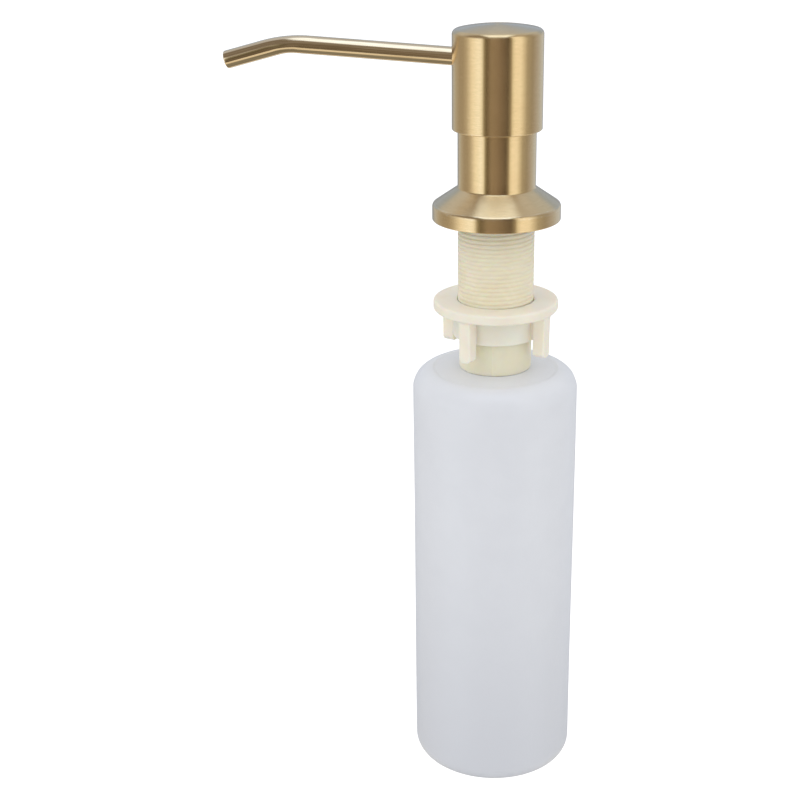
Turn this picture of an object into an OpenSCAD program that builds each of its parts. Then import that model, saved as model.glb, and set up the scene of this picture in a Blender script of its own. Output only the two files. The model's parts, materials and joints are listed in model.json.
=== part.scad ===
// Counter-mounted soap dispenser: a press head with a bent spout, a pump that lifts out through the
// collar for filling, a threaded shank with its wing nut, and a bottle that screws on below.
// The origin is the centre of the flange's underside, where it rests on the counter. +Z is up and
// the spout points along -X.

/* [Head] */
// Diameter of the press head
head_d = 34.7; // [34.2:0.1:36]
// Height of the head's crown above the counter
head_top = 74.3; // [73.5:0.1:76]
// Height of the skirt's lower edge above the counter
skirt_bottom = 35; // [33:0.5:36]
// Wall of the head's metal shell
head_wall = 1.2; // [0.8:0.1:1.3]
// Radius of the head's top edge
head_round = 2; // [1.6:0.1:3.6]
// Radius of the shallow dome on the head's top
dome_r = 75; // [70:5:300]

/* [Spout] */
// Diameter of the spout tube
spout_d = 7; // [6.4:0.1:7.4]
// Bore of the spout tube
spout_bore = 5.4; // [4.6:0.1:5.6]
// Distance from the pump's axis to the spout's tip
spout_reach = 107; // [98:1:114]
// Distance from the pump's axis to the bend
bend_reach = 82.5; // [78:0.5:86]
// Height of the bend above the counter
bend_height = 65.75; // [65.5:0.25:67]
// Angle at which the spout climbs to the bend
spout_rise = 3.2; // [2.6:0.1:3.6]
// Angle at which the spout falls after the bend
spout_fall = 15.5; // [8:0.5:25]
// Radius of the bend along the tube's centre line
bend_r = 40; // [20:5:60]

/* [Collar] */
// Diameter of the flange that rests on the counter
flange_d = 50; // [49:0.5:54]
// Height of the flange's upright rim
rim_h = 5.8; // [5.4:0.1:7]
// Height at which the cone meets the neck
cone_top = 12.6; // [12:0.1:15]
// Diameter of the neck inside the skirt
neck_d = 30.3; // [30.1:0.1:30.8]
// Height of the neck's upper edge
neck_top = 36.5; // [36:0.5:37]
// Wall of the collar's metal shell
collar_wall = 1; // [0.8:0.1:1.1]
// Thickness of the rubber ring under the flange
gasket_t = 1.2; // [1:0.1:1.6]

/* [Shank] */
// Diameter over the thread's crests
shank_d = 30; // [29.6:0.1:30]
// Pitch of the thread
thread_pitch = 1.75; // [1.5:0.05:2.5]
// Depth of the thread
thread_depth = 0.3; // [0.2:0.05:0.5]
// Length of the threaded stretch
thread_length = 46; // [40:1:48]
// Diameter of the plain lower end
shank_end_d = 28.8; // [28.4:0.1:29]
// Length of the shank below the counter's surface
shank_length = 60.6; // [58:0.2:62]
// Bore that the pump drops through
shank_bore = 23.2; // [23:0.1:23.6]

/* [Wing nut] */
// Diameter of the nut's plate
nut_d = 49.4; // [48:0.2:54]
// Thickness of the nut's plate
nut_plate = 4; // [3:0.2:4.4]
// Depth of the nut's top face below the counter's surface
nut_depth = 32.4; // [30:0.2:33]
// Diameter of the nut's hub
hub_d = 34; // [33.6:0.2:36]
// Height of the hub below the plate
hub_h = 10.9; // [8:0.1:12]
// Length of the wings below the plate
wing_drop = 16.8; // [14:0.2:17]
// Width of a wing
wing_w = 5; // [4:0.1:7]
// Radial thickness of a wing
wing_t = 5.2; // [3:0.1:5.4]
// Number of wings
wing_count = 4; // [2:1:6]
// Angle of the first wing from the +X axis
wing_angle = 68; // [0:1:90]

/* [Bottle] */
// Diameter of the bottle
bottle_d = 66.3; // [60:0.1:76]
// Depth of the bottle's base below the counter's surface
bottle_depth = 237.2; // [236:0.2:260]
// Wall of the bottle
bottle_wall = 1; // [0.8:0.1:1.4]
// Radius of the shoulder
shoulder_round = 8.3; // [6:0.1:12]
// Radius of the base's edge
base_round = 6.6; // [4:0.1:8]
// Diameter of the bottle's neck
bottle_neck_d = 24; // [23.6:0.1:24.2]

/* [Pump] */
// Travel of the head when it is pressed
stroke = 16; // [10:0.5:16]
// Diameter of the pump cylinder
cylinder_d = 17; // [16.4:0.1:17.4]
// Bore of the pump cylinder
cylinder_bore = 12.8; // [12.4:0.1:13]
// Diameter of the hollow stem
stem_d = 7; // [6.6:0.1:7.2]
// Diameter of the dip tube
dip_tube_d = 6.5; // [6:0.1:6.8]
// Depth of the dip tube's lower end below the counter's surface
dip_tube_depth = 228; // [210:1:230]
// Diameter of the spring's wire
wire_d = 0.8; // [0.6:0.1:1]
// Number of turns in the spring
spring_turns = 9; // [6:1:11]
// Diameter of the steel ball in the inlet valve
inlet_ball_d = 4.8; // [4.6:0.1:5]
// Diameter of the steel ball in the outlet valve
outlet_ball_d = 3.4; // [3.2:0.1:3.4]

/* [Hidden] */
$fn = 96;

// Colours of the finishes
gold = [0.78, 0.62, 0.40];
polished_gold = [0.74, 0.63, 0.42];
ivory = [0.90, 0.87, 0.78];
nut_white = [0.91, 0.90, 0.84];
frosted = [0.86, 0.88, 0.91, 0.85];
natural = [0.92, 0.93, 0.92];
rubber = [0.12, 0.12, 0.12];
steel = [0.75, 0.76, 0.78];

// Clearances of faces that stay put, faces that slide or turn, and loose fits; eps is the hairline
// left between pieces pressed together, and edge is the radius of a small rounded corner
snug = 0.05;
running = 0.05;
free = 0.3;
eps = 0.01;
edge = 0.3;

// Radii that several pieces share
head_r = head_d / 2;
flange_r = flange_d / 2;
neck_r = neck_d / 2;
shank_r = shank_d / 2;
shank_bore_r = shank_bore / 2;
spout_r = spout_d / 2;
stem_r = stem_d / 2;
cylinder_r = cylinder_d / 2;
cylinder_bore_r = cylinder_bore / 2;
bottle_r = bottle_d / 2;
dip_r = dip_tube_d / 2;
inlet_r = inlet_ball_d / 2;
outlet_r = outlet_ball_d / 2;

// Where the spout starts inside the insert, and the ring that seals it there
spout_root = 6.5;
seal_w = 1.8;
seal_outer = spout_r + 1.5;
seal_reach = 11;
bend_steps = 6;

// Heights in the head and the pump
plug_t = 1.5;
plug_top = neck_top + plug_t;
insert_boss_bottom = plug_top + stroke + 0.5;
insert_bottom = insert_boss_bottom + 1.2;
insert_top = dome_z(head_r) - head_wall - free;
socket_top = 59.6;
stem_top = socket_top - 0.4;
guide_bottom = 29;
stop_t = 0.8;
piston_top = guide_bottom - 0.2 - stop_t;
piston_h = 8;
piston_bottom = piston_top - piston_h;
seat_t = 4;
spring_top = piston_bottom - seat_t;
cage_t = 1.5;
cage_bottom = -16;
spring_bottom = cage_bottom + cage_t;
chamber_bottom = cage_bottom - 6;
nozzle_bottom = -34;
dip_stop = -26;
inlet_seat_r = 1.9;
outlet_seat_r = 1.2;
outlet_seat_top = piston_bottom + 3;
ball_gap = 0.03;
outlet_z = outlet_seat_top + sqrt(outlet_r * outlet_r - outlet_seat_r * outlet_seat_r) + ball_gap;
inlet_z = chamber_bottom + sqrt(inlet_r * inlet_r - inlet_seat_r * inlet_seat_r) + ball_gap;

// The guide's flange and the face it rests on, the plug's foot and its sealing ring in a groove
guide_flange_r = 7;
guide_seat = neck_top - 0.5;
plug_bottom = 26;
plug_seal_z = 31;
plug_seal_w = 1.8;
groove_r = 10.2;

// The stem's bore is wide below, where the outlet ball moves, and narrow above
stem_bore_r = outlet_r + free;
stem_flow_r = 1.4;
outlet_lift = 1.5;

// Shank, nut and bottle below the counter
core_flange_r = flange_r - collar_wall - snug;
core_flange_top = 4.8;
bottle_neck_r = bottle_neck_d / 2;
bottle_thread_r = bottle_neck_r + 0.4;
bottle_bore_r = bottle_neck_r - 1.6;
bottle_neck_top = -47;
socket_r = bottle_thread_r + free + 0.1;
socket_lip = bottle_neck_top + 0.5;
nut_bore_r = shank_r + 0.1;
nut_bottom = -nut_depth - nut_plate;
wing_outer = nut_d / 2 - 0.9;
wing_inner = wing_outer - wing_t;
web_w = 2.6;
bore_chamfer = 0.3;
seat_r = 14.8;
shoulder_slope = 5.1;
base_push_up = 2.5;
base_ring_r = 21.5;

// ---- Outlines ----

function unit(v) = v / norm(v);

// Rounds the corner b, between a and c, with a tangent arc of radius r
function corner_arc(a, b, c, r) =
    let (
        u = unit(a - b),
        v = unit(c - b),
        half = acos(u * v) / 2,
        centre = b + unit(u + v) * r / sin(half),
        from = b + u * r / tan(half) - centre,
        to = b + v * r / tan(half) - centre,
        start = atan2(from.y, from.x),
        turn = atan2(from.x * to.y - from.y * to.x, from * to),
        steps = max(3, ceil(abs(turn) / 12))
    )
    [for (i = [0:steps]) centre + r * [cos(start + turn * i / steps), sin(start + turn * i / steps)]];

// Outline through corners [x, z, radius]; a radius of 0 leaves the corner sharp
function rounded(corners) =
    let (n = len(corners))
    [
        for (i = [0:n - 1])
            let (
                p = corners[i],
                before = corners[(i + n - 1) % n],
                after = corners[(i + 1) % n]
            )
            each p[2] > 0
                ? corner_arc([before.x, before.y], [p.x, p.y], [after.x, after.y], p[2])
                : [[p.x, p.y]]
    ];

// Solid of revolution with its outline given as corners
module turned(corners) {
    rotate_extrude() polygon(rounded(corners));
}

// Plain tube between two heights
module tube(outer_r, inner_r, bottom, top) {
    translate([0, 0, bottom]) difference() {
        cylinder(r = outer_r, h = top - bottom);
        translate([0, 0, -1]) cylinder(r = inner_r, h = top - bottom + 2);
    }
}

// Points of a ring of radius r round the point centre, spanned by the unit vectors u and v
function ring(centre, u, v, r, sides) =
    [for (i = [0:sides - 1]) centre + r * (cos(360 * i / sides) * u + sin(360 * i / sides) * v)];

// Faces that join ring number i to ring number j of a skin with this many sides
function band(i, j, sides) = [
    for (k = [0:sides - 1])
        let (next = (k + 1) % sides)
        [i * sides + k, i * sides + next, j * sides + next, j * sides + k]
];

// ---- Spout's centre line, in [distance from the pump's axis, height, slope] ----

// Height of the climbing stretch at a distance from the axis
function spout_z(reach) = bend_height - (bend_reach - reach) * tan(spout_rise);

// Point of the bend where the tube has this slope
function bend_point(slope) =
    let (tangent = bend_r * tan((spout_rise + spout_fall) / 2))
    [
        bend_reach - tangent * cos(spout_rise) + bend_r * (sin(spout_rise) - sin(slope)),
        bend_height - tangent * sin(spout_rise) - bend_r * (cos(spout_rise) - cos(slope)),
        slope
    ];

spout_line = concat(
    [[spout_root, spout_z(spout_root), spout_rise]],
    [for (i = [0:bend_steps]) bend_point(spout_rise - i * (spout_rise + spout_fall) / bend_steps)],
    [[spout_reach, bend_height - (spout_reach - bend_reach) * tan(spout_fall), -spout_fall]]
);

// Straight bar along the climbing stretch, between two distances from the axis
module climb_bar(r, from_reach, to_reach) {
    translate([-from_reach, 0, spout_z(from_reach)]) rotate([0, spout_rise - 90, 0])
        cylinder(r = r, h = (to_reach - from_reach) / cos(spout_rise));
}

// ---- Head ----

// Height of the dome at a distance from the axis
function dome_z(x) = head_top - x * x / (2 * dome_r);

// Brushed metal cap: a skirt, a rounded top edge and a shallow dome
module head_shell() {
    hole_reach = 4;
    dome = [for (x = [0:3.5:14]) [x, dome_z(x), 0]];
    inner_r = head_r - head_wall;
    inner_top = dome_z(head_r) - head_wall;
    color(gold) difference() {
        turned(concat(dome, [
            [head_r, dome_z(head_r), head_round],
            [head_r, skirt_bottom, edge],
            [inner_r, skirt_bottom, edge],
            [inner_r, inner_top, head_round - head_wall],
            [0, inner_top, 0]
        ]));
        climb_bar(spout_r + snug, head_r - hole_reach, head_r + hole_reach);
    }
}

// Moulded core that fills the head, turns on the stem and carries the soap to the spout
module head_insert() {
    channel_r = 2;
    color(natural) difference() {
        turned([
            [0, insert_boss_bottom, 0],
            [stem_r + 3, insert_boss_bottom, 0.4],
            [stem_r + 3, insert_bottom, 0],
            [head_r - head_wall - snug, insert_bottom, edge],
            [head_r - head_wall - snug, insert_top, 2.4],
            [0, insert_top, 0]
        ]);
        translate([0, 0, insert_boss_bottom - 1])
            cylinder(r = stem_r + running, h = socket_top - insert_boss_bottom + 1);
        climb_bar(spout_r + snug, spout_root, head_r);
        climb_bar(channel_r, 0, spout_root + 1);
        at_spout_seal() translate([0, 0, -seal_w / 2 - snug]) cylinder(r = seal_outer, h = seal_w + 2 * snug);
    }
}

// Places its children round the spout inside the insert, with Z along the tube
module at_spout_seal() {
    translate([-seal_reach, 0, spout_z(seal_reach)]) rotate([0, 90 + spout_rise, 0]) children();
}

// Bent metal tube with both ends cut square
module spout_tube() {
    sides = 32;
    stations = len(spout_line);
    skin = function(r) [
        for (p = spout_line)
            each ring([-p.x, 0, p.y], [sin(p.z), 0, cos(p.z)], [0, 1, 0], r, sides)
    ];
    outer = [for (i = [0:stations - 2]) each band(i, i + 1, sides)];
    inner = [for (i = [0:stations - 2]) each band(stations + i + 1, stations + i, sides)];
    ends = concat(band(stations, 0, sides), band(stations - 1, 2 * stations - 1, sides));
    color(polished_gold)
        polyhedron(concat(skin(spout_r), skin(spout_bore / 2)), concat(outer, inner, ends));
}

// Rubber ring that seals the tube in the insert
module spout_seal() {
    color(rubber) at_spout_seal() turned([
        [spout_r + snug, -seal_w / 2, 0.5],
        [seal_outer - snug, -seal_w / 2, 0.5],
        [seal_outer - snug, seal_w / 2, 0.5],
        [spout_r + snug, seal_w / 2, 0.5]
    ]);
}

// ---- Plunger ----

// Hollow stem with the ring that stops it under the guide
module stem() {
    color(natural) difference() {
        turned([
            [0, piston_bottom, 0],
            [stem_r, piston_bottom, 0],
            [stem_r, piston_top, 0],
            [stem_r + 1.1, piston_top, 0],
            [stem_r + 1.1, piston_top + stop_t, 0],
            [stem_r, piston_top + stop_t, 0],
            [stem_r, stem_top, 0.5],
            [0, stem_top, 0]
        ]);
        translate([0, 0, piston_bottom - 1])
            cylinder(r = stem_bore_r, h = outlet_z + outlet_r + outlet_lift + 0.2 - piston_bottom + 1);
        translate([0, 0, piston_bottom]) cylinder(r = stem_flow_r, h = stem_top - piston_bottom + 1);
    }
}

// Piston with a sealing lip at each end
module piston() {
    lip_r = cylinder_bore_r - running;
    color(natural) turned([
        [stem_r + eps, piston_bottom, 0],
        [lip_r, piston_bottom, 0],
        [lip_r, piston_bottom + 1.2, 0.4],
        [lip_r - 1.1, piston_bottom + 2.6, 0.5],
        [lip_r - 1.1, piston_top - 2.6, 0.5],
        [lip_r, piston_top - 1.2, 0.4],
        [lip_r, piston_top, 0],
        [stem_r + eps, piston_top, 0]
    ]);
}

// Plug in the stem's foot: the spring pushes on it and the outlet ball rests on its spigot
module piston_seat() {
    color(natural) turned([
        [outlet_seat_r, spring_top - 2, 0],
        [stem_r - 0.4, spring_top - 2, 0.4],
        [stem_r - 0.4, spring_top, 0],
        [stem_r + 1.4, spring_top, 0],
        [stem_r + 1.4, piston_bottom, 0],
        [stem_bore_r - eps, piston_bottom, 0],
        [stem_bore_r - eps, outlet_seat_top, 0],
        [outlet_seat_r, outlet_seat_top, 0]
    ]);
}

module outlet_ball() {
    color(steel) translate([0, 0, outlet_z]) sphere(r = outlet_r);
}

// Return spring, with a closed turn at each end
module pump_spring() {
    steps = 14;
    sides = 6;
    wire_r = wire_d / 2;
    coil_r = 4.2;
    foot = spring_bottom + ball_gap + wire_r;
    length = spring_top - spring_bottom - wire_d - 2 * ball_gap;
    closed = wire_d * 1.1;
    open = (length - 2 * closed) / (spring_turns - 2);
    total = spring_turns * steps;
    function rise(turns) =
        turns < 1 ? turns * closed
        : turns > spring_turns - 1 ? length - (spring_turns - turns) * closed
        : closed + (turns - 1) * open;
    points = [
        for (i = [0:total])
            let (out = [cos(360 * i / steps), sin(360 * i / steps), 0])
            each ring(coil_r * out + [0, 0, foot + rise(i / steps)], out, [0, 0, 1], wire_r, sides)
    ];
    walls = [for (i = [0:total - 1]) each band(i, i + 1, sides)];
    ends = [
        [for (j = [sides - 1:-1:0]) j],
        [for (j = [0:sides - 1]) total * sides + j]
    ];
    color(steel) polyhedron(points, concat(walls, ends));
}

// ---- Pump body ----

// Closure that drops into the collar and hangs the pump from its rim
module pump_plug() {
    plug_r = shank_bore_r - free;
    groove_top = plug_seal_z + plug_seal_w / 2 + snug;
    groove_bottom = plug_seal_z - plug_seal_w / 2 - snug;
    color(natural) turned([
        [cylinder_r + snug, plug_bottom, 0],
        [plug_r, plug_bottom, 0.5],
        [plug_r, groove_bottom, 0],
        [groove_r, groove_bottom, 0],
        [groove_r, groove_top, 0],
        [plug_r, groove_top, 0],
        [plug_r, neck_top, 0],
        [neck_r - 0.2, neck_top, 0.4],
        [neck_r - 0.2, plug_top, 0.6],
        [guide_flange_r + snug, plug_top, 0],
        [guide_flange_r + snug, guide_seat, 0],
        [cylinder_r + snug, guide_seat, 0]
    ]);
}

// Bush in the cylinder's mouth that guides the stem
module stem_guide() {
    color(natural) turned([
        [stem_r + running, guide_bottom, 0],
        [cylinder_bore_r - snug, guide_bottom, 0.4],
        [cylinder_bore_r - snug, guide_seat, 0],
        [guide_flange_r, guide_seat, 0],
        [guide_flange_r, plug_top, 0.4],
        [stem_r + running, plug_top, 0.4]
    ]);
}

// Rubber ring round the plug
module plug_seal() {
    inner = groove_r + snug;
    outer = shank_bore_r - 0.1;
    color(rubber) turned([
        [inner, plug_seal_z - plug_seal_w / 2, 0.4],
        [outer, plug_seal_z - plug_seal_w / 2, 0.4],
        [outer, plug_seal_z + plug_seal_w / 2, 0.4],
        [inner, plug_seal_z + plug_seal_w / 2, 0.4]
    ]);
}

// Pump barrel, its valve chamber and the nozzle that grips the dip tube
module pump_cylinder() {
    nozzle_r = 5;
    color(natural) difference() {
        turned([
            [0, nozzle_bottom, 0],
            [nozzle_r, nozzle_bottom, 0.4],
            [nozzle_r, chamber_bottom, 0],
            [cylinder_r, cage_bottom - 2, 0],
            [cylinder_r, guide_seat, 0],
            [0, guide_seat, 0]
        ]);
        translate([0, 0, cage_bottom]) cylinder(r = cylinder_bore_r, h = neck_top - cage_bottom);
        translate([0, 0, chamber_bottom]) cylinder(r = inlet_r + 0.5, h = -chamber_bottom);
        translate([0, 0, dip_stop - 1]) cylinder(r = inlet_seat_r, h = -dip_stop);
        translate([0, 0, nozzle_bottom - 1]) cylinder(r = dip_r + eps, h = dip_stop - nozzle_bottom + 1);
    }
}

// Slotted disc that keeps the inlet ball down and seats the spring
module ball_cage() {
    hole_r = 0.9;
    color(natural) difference() {
        translate([0, 0, cage_bottom]) cylinder(r = cylinder_bore_r - snug, h = cage_t);
        for (a = [0:60:300])
            rotate([0, 0, a]) translate([2, 0, cage_bottom - 1]) cylinder(r = hole_r, h = cage_t + 2);
    }
}

module inlet_ball() {
    color(steel) translate([0, 0, inlet_z]) sphere(r = inlet_r);
}

// Dip tube with its foot cut at a slant, so that it can't seal itself on the bottle's base
module dip_tube() {
    slant = 35;
    color(frosted) difference() {
        tube(dip_r, dip_r - 0.85, -dip_tube_depth, dip_stop);
        translate([-dip_r, 0, -dip_tube_depth]) rotate([0, -slant, 0])
            translate([-5, -10, -20]) cube([30, 20, 20]);
    }
}

// ---- Collar and shank ----

// Brushed metal collar: upright rim, cone and neck in one thin shell
module collar() {
    slope = atan2(cone_top - rim_h, flange_r - neck_r);
    drop = collar_wall * (1 / cos(slope) - tan(slope));
    inner_neck = neck_r - collar_wall;
    inner_rim = flange_r - collar_wall;
    color(gold) turned([
        [inner_rim, 0, 0],
        [flange_r, 0, edge],
        [flange_r, rim_h, 1.5],
        [neck_r, cone_top, 1],
        [neck_r, neck_top, edge],
        [inner_neck, neck_top, 0],
        [inner_neck, cone_top - drop, 0],
        [inner_rim, rim_h - drop, 0]
    ]);
}

// Flat rubber ring between the flange and the counter
module base_gasket() {
    color(rubber) tube(core_flange_r, shank_r + free, 0, gasket_t);
}

// Moulded shank: a core inside the collar, a long thread and a socket for the bottle
module threaded_shank() {
    core_r = neck_r - collar_wall - snug;
    end_r = shank_end_d / 2;
    turns = floor(thread_length / thread_pitch);
    thread = [
        for (i = [0:turns - 1])
            let (z = -i * thread_pitch)
            each [
                [shank_r, z, 0],
                [shank_r, z - 0.3 * thread_pitch, 0],
                [shank_r - thread_depth, z - 0.55 * thread_pitch, 0],
                [shank_r - thread_depth, z - 0.75 * thread_pitch, 0]
            ]
    ];
    color(ivory) turned(concat(
        [
            [shank_bore_r, neck_top, 0],
            [core_r, neck_top, 0],
            [core_r, core_flange_top, 0],
            [core_flange_r, core_flange_top, 0],
            [core_flange_r, gasket_t, 0],
            [shank_r, gasket_t, 0]
        ],
        thread,
        [
            [end_r, -turns * thread_pitch, 0],
            [end_r, -shank_length, 0.5],
            [socket_r, -shank_length, 0],
            [socket_r, socket_lip, 0],
            [shank_bore_r, socket_lip, 0]
        ]
    ));
}

// ---- Wing nut ----

// One wing, hanging from the plate at its rim, with its lower corners rounded
module wing() {
    corner = 1.8;
    outline = [
        [-wing_w / 2, nut_bottom - wing_drop, corner],
        [wing_w / 2, nut_bottom - wing_drop, corner],
        [wing_w / 2, nut_bottom + 1, 0],
        [-wing_w / 2, nut_bottom + 1, 0]
    ];
    intersection() {
        rotate([90, 0, 90]) linear_extrude(wing_outer + 1) polygon(rounded(outline));
        tube(wing_outer, wing_inner, nut_bottom - wing_drop - 1, nut_bottom + 1);
    }
}

// Plate, hub and wings in one moulding; the web ties each wing to the hub
module wing_nut() {
    hub_bottom = nut_bottom - hub_h;
    color(nut_white) difference() {
        union() {
            turned([
                [0, hub_bottom, 0],
                [hub_d / 2, hub_bottom, 0.5],
                [hub_d / 2, nut_bottom, 0],
                [nut_d / 2, nut_bottom, 0.6],
                [nut_d / 2, -nut_depth, 0.8],
                [0, -nut_depth, 0]
            ]);
            for (i = [0:wing_count - 1]) rotate([0, 0, wing_angle + i * 360 / wing_count]) {
                wing();
                translate([shank_r + 1, -web_w / 2, hub_bottom + 0.5])
                    cube([wing_inner - shank_r, web_w, hub_h]);
            }
        }
        turned([
            [0, hub_bottom - 1, 0],
            [nut_bore_r, hub_bottom - 1, 0],
            [nut_bore_r, -nut_depth - bore_chamfer, 0],
            [nut_bore_r + 2 * bore_chamfer, -nut_depth + bore_chamfer, 0],
            [0, -nut_depth + bore_chamfer, 0]
        ]);
    }
}

// ---- Bottle ----

// Blow-moulded bottle: threaded neck, flat shoulder, straight side and a pushed-up base
module bottle() {
    wall = bottle_wall;
    base = -bottle_depth;
    seat = -shank_length;
    side_top = seat - (bottle_r - seat_r) * tan(shoulder_slope);
    inner_r = bottle_r - wall;
    ridge = 0.5;
    color(frosted) {
        turned([
            [0, base + base_push_up, 0],
            [base_ring_r - 5, base + base_push_up, 2],
            [base_ring_r, base, 1.5],
            [bottle_r, base, base_round],
            [bottle_r, side_top, shoulder_round],
            [seat_r, seat, 0],
            [bottle_neck_r, seat, 0],
            [bottle_neck_r, bottle_neck_top, ridge],
            [bottle_bore_r, bottle_neck_top, ridge],
            [bottle_bore_r, seat - wall, 1],
            [inner_r, side_top - wall, shoulder_round - wall],
            [inner_r, base + wall, base_round - wall],
            [base_ring_r - 0.5, base + wall, 1.5],
            [base_ring_r - 5.5, base + base_push_up + wall, 2],
            [0, base + base_push_up + wall, 0]
        ]);
        for (z = [bottle_neck_top - 3:-3:seat + 3]) turned([
            [bottle_neck_r - 0.5, z - 0.9, 0],
            [bottle_neck_r, z - 0.9, 0],
            [bottle_thread_r, z - ridge, 0],
            [bottle_thread_r, z + ridge, 0],
            [bottle_neck_r, z + 0.9, 0],
            [bottle_neck_r - 0.5, z + 0.9, 0]
        ]);
    }
}

head_shell();
head_insert();
spout_tube();
spout_seal();
stem();
piston();
piston_seat();
outlet_ball();
pump_spring();
pump_plug();
stem_guide();
plug_seal();
pump_cylinder();
ball_cage();
inlet_ball();
dip_tube();
collar();
base_gasket();
threaded_shank();
wing_nut();
bottle();
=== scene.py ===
"""Soap pump dispenser: detailed pieces, finishes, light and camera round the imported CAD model.

Outlines are in millimetres in the row frame: z is up along the pump's axis, the flange's underside is at
z = 0 and the spout points along -X. Meshes are in metres.
"""
import json
import math

import bmesh
import bpy
from mathutils import Matrix, Vector


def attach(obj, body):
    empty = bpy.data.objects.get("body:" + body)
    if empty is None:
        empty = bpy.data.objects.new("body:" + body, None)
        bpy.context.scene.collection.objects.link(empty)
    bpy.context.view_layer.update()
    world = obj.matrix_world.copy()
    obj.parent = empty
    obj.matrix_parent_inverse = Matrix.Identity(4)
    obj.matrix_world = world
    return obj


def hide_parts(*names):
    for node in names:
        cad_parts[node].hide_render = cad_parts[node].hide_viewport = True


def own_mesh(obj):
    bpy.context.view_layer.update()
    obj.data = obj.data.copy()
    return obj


MM = 0.001
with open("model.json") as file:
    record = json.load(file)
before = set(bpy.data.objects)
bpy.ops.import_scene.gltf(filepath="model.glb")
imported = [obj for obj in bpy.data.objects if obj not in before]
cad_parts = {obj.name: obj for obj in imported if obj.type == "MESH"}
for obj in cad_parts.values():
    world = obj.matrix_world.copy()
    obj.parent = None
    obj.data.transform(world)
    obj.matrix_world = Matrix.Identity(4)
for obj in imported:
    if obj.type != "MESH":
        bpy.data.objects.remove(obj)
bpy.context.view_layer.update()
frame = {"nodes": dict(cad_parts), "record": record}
scene = bpy.context.scene


# ---------------------------------------------------------------- shader helpers


class Tree:
    """Adds nodes to a shader tree. An input may be a plain value or another node's output."""

    def __init__(self, tree):
        self.tree = tree
        tree.nodes.clear()

    def add(self, kind, inputs=None, **settings):
        node = self.tree.nodes.new("ShaderNode" + kind)
        for key, value in settings.items():
            setattr(node, key, value)
        for key, value in (inputs or {}).items():
            if isinstance(value, bpy.types.NodeSocket):
                self.tree.links.new(value, node.inputs[key])
            else:
                node.inputs[key].default_value = value
        return node

    def math(self, operation, a, b=0.0, clamp=False):
        return self.add("Math", {0: a, 1: b}, operation=operation, use_clamp=clamp).outputs[0]

    def mix(self, factor, a, b):
        a, b = (rgba(c) if isinstance(c, tuple) else c for c in (a, b))
        return self.add("Mix", {0: factor, 6: a, 7: b}, data_type="RGBA").outputs[2]

    def ramp(self, value, low, high, to_low=0.0, to_high=1.0):
        """Smooth step of the value from to_low at low to to_high at high."""
        inputs = {0: value, 1: low, 2: high, 3: to_low, 4: to_high}
        return self.add("MapRange", inputs, interpolation_type="SMOOTHSTEP").outputs[0]

    def noise(self, vector, scale=1.0, detail=2.0, roughness=0.5):
        inputs = {"Vector": vector, "Scale": scale, "Detail": detail, "Roughness": roughness}
        return self.add("TexNoise", inputs).outputs[0]

    def split(self, vector):
        return self.add("SeparateXYZ", {0: vector}).outputs

    def join(self, x, y, z):
        return self.add("CombineXYZ", {0: x, 1: y, 2: z}).outputs[0]

    def bump(self, height, strength, distance, normal=None):
        inputs = {"Height": height, "Strength": strength, "Distance": distance}
        if normal:
            inputs["Normal"] = normal
        return self.add("Bump", inputs).outputs[0]

    def millimetres(self):
        """Place on the piece, in millimetres of the row frame."""
        place = self.add("TexCoord").outputs["Object"]
        return self.add("VectorMath", {0: place, 3: 1 / MM}, operation="SCALE").outputs[0]

    def turned(self, around, across):
        """Coordinates that run round the axis slowly and along a turned surface's outline quickly."""
        x, y, z = self.split(self.millimetres())
        flat = self.join(x, y, 0.0)
        radius = self.add("VectorMath", {0: flat}, operation="LENGTH").outputs["Value"]
        unit = self.add("VectorMath", {0: flat}, operation="NORMALIZE").outputs[0]
        ux, uy, _ = self.split(unit)
        outline = self.math("SUBTRACT", z, radius)
        scaled = [self.math("MULTIPLY", v, k) for v, k in ((ux, around), (uy, around), (outline, across))]
        return self.join(*scaled)


def rgba(colour):
    return (*colour, 1.0) if len(colour) == 3 else colour


def material(name):
    made = bpy.data.materials.new(name)
    made.use_nodes = True
    return made, Tree(made.node_tree)


def surface(t, inputs):
    """Ends a material's tree in the principled shader."""
    shader = t.add("BsdfPrincipled", inputs)
    t.tree.links.new(shader.outputs[0], t.add("OutputMaterial").inputs[0])
    return shader


# ---------------------------------------------------------------- materials

WORN_GOLD = (0.86, 0.76, 0.58)


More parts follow.
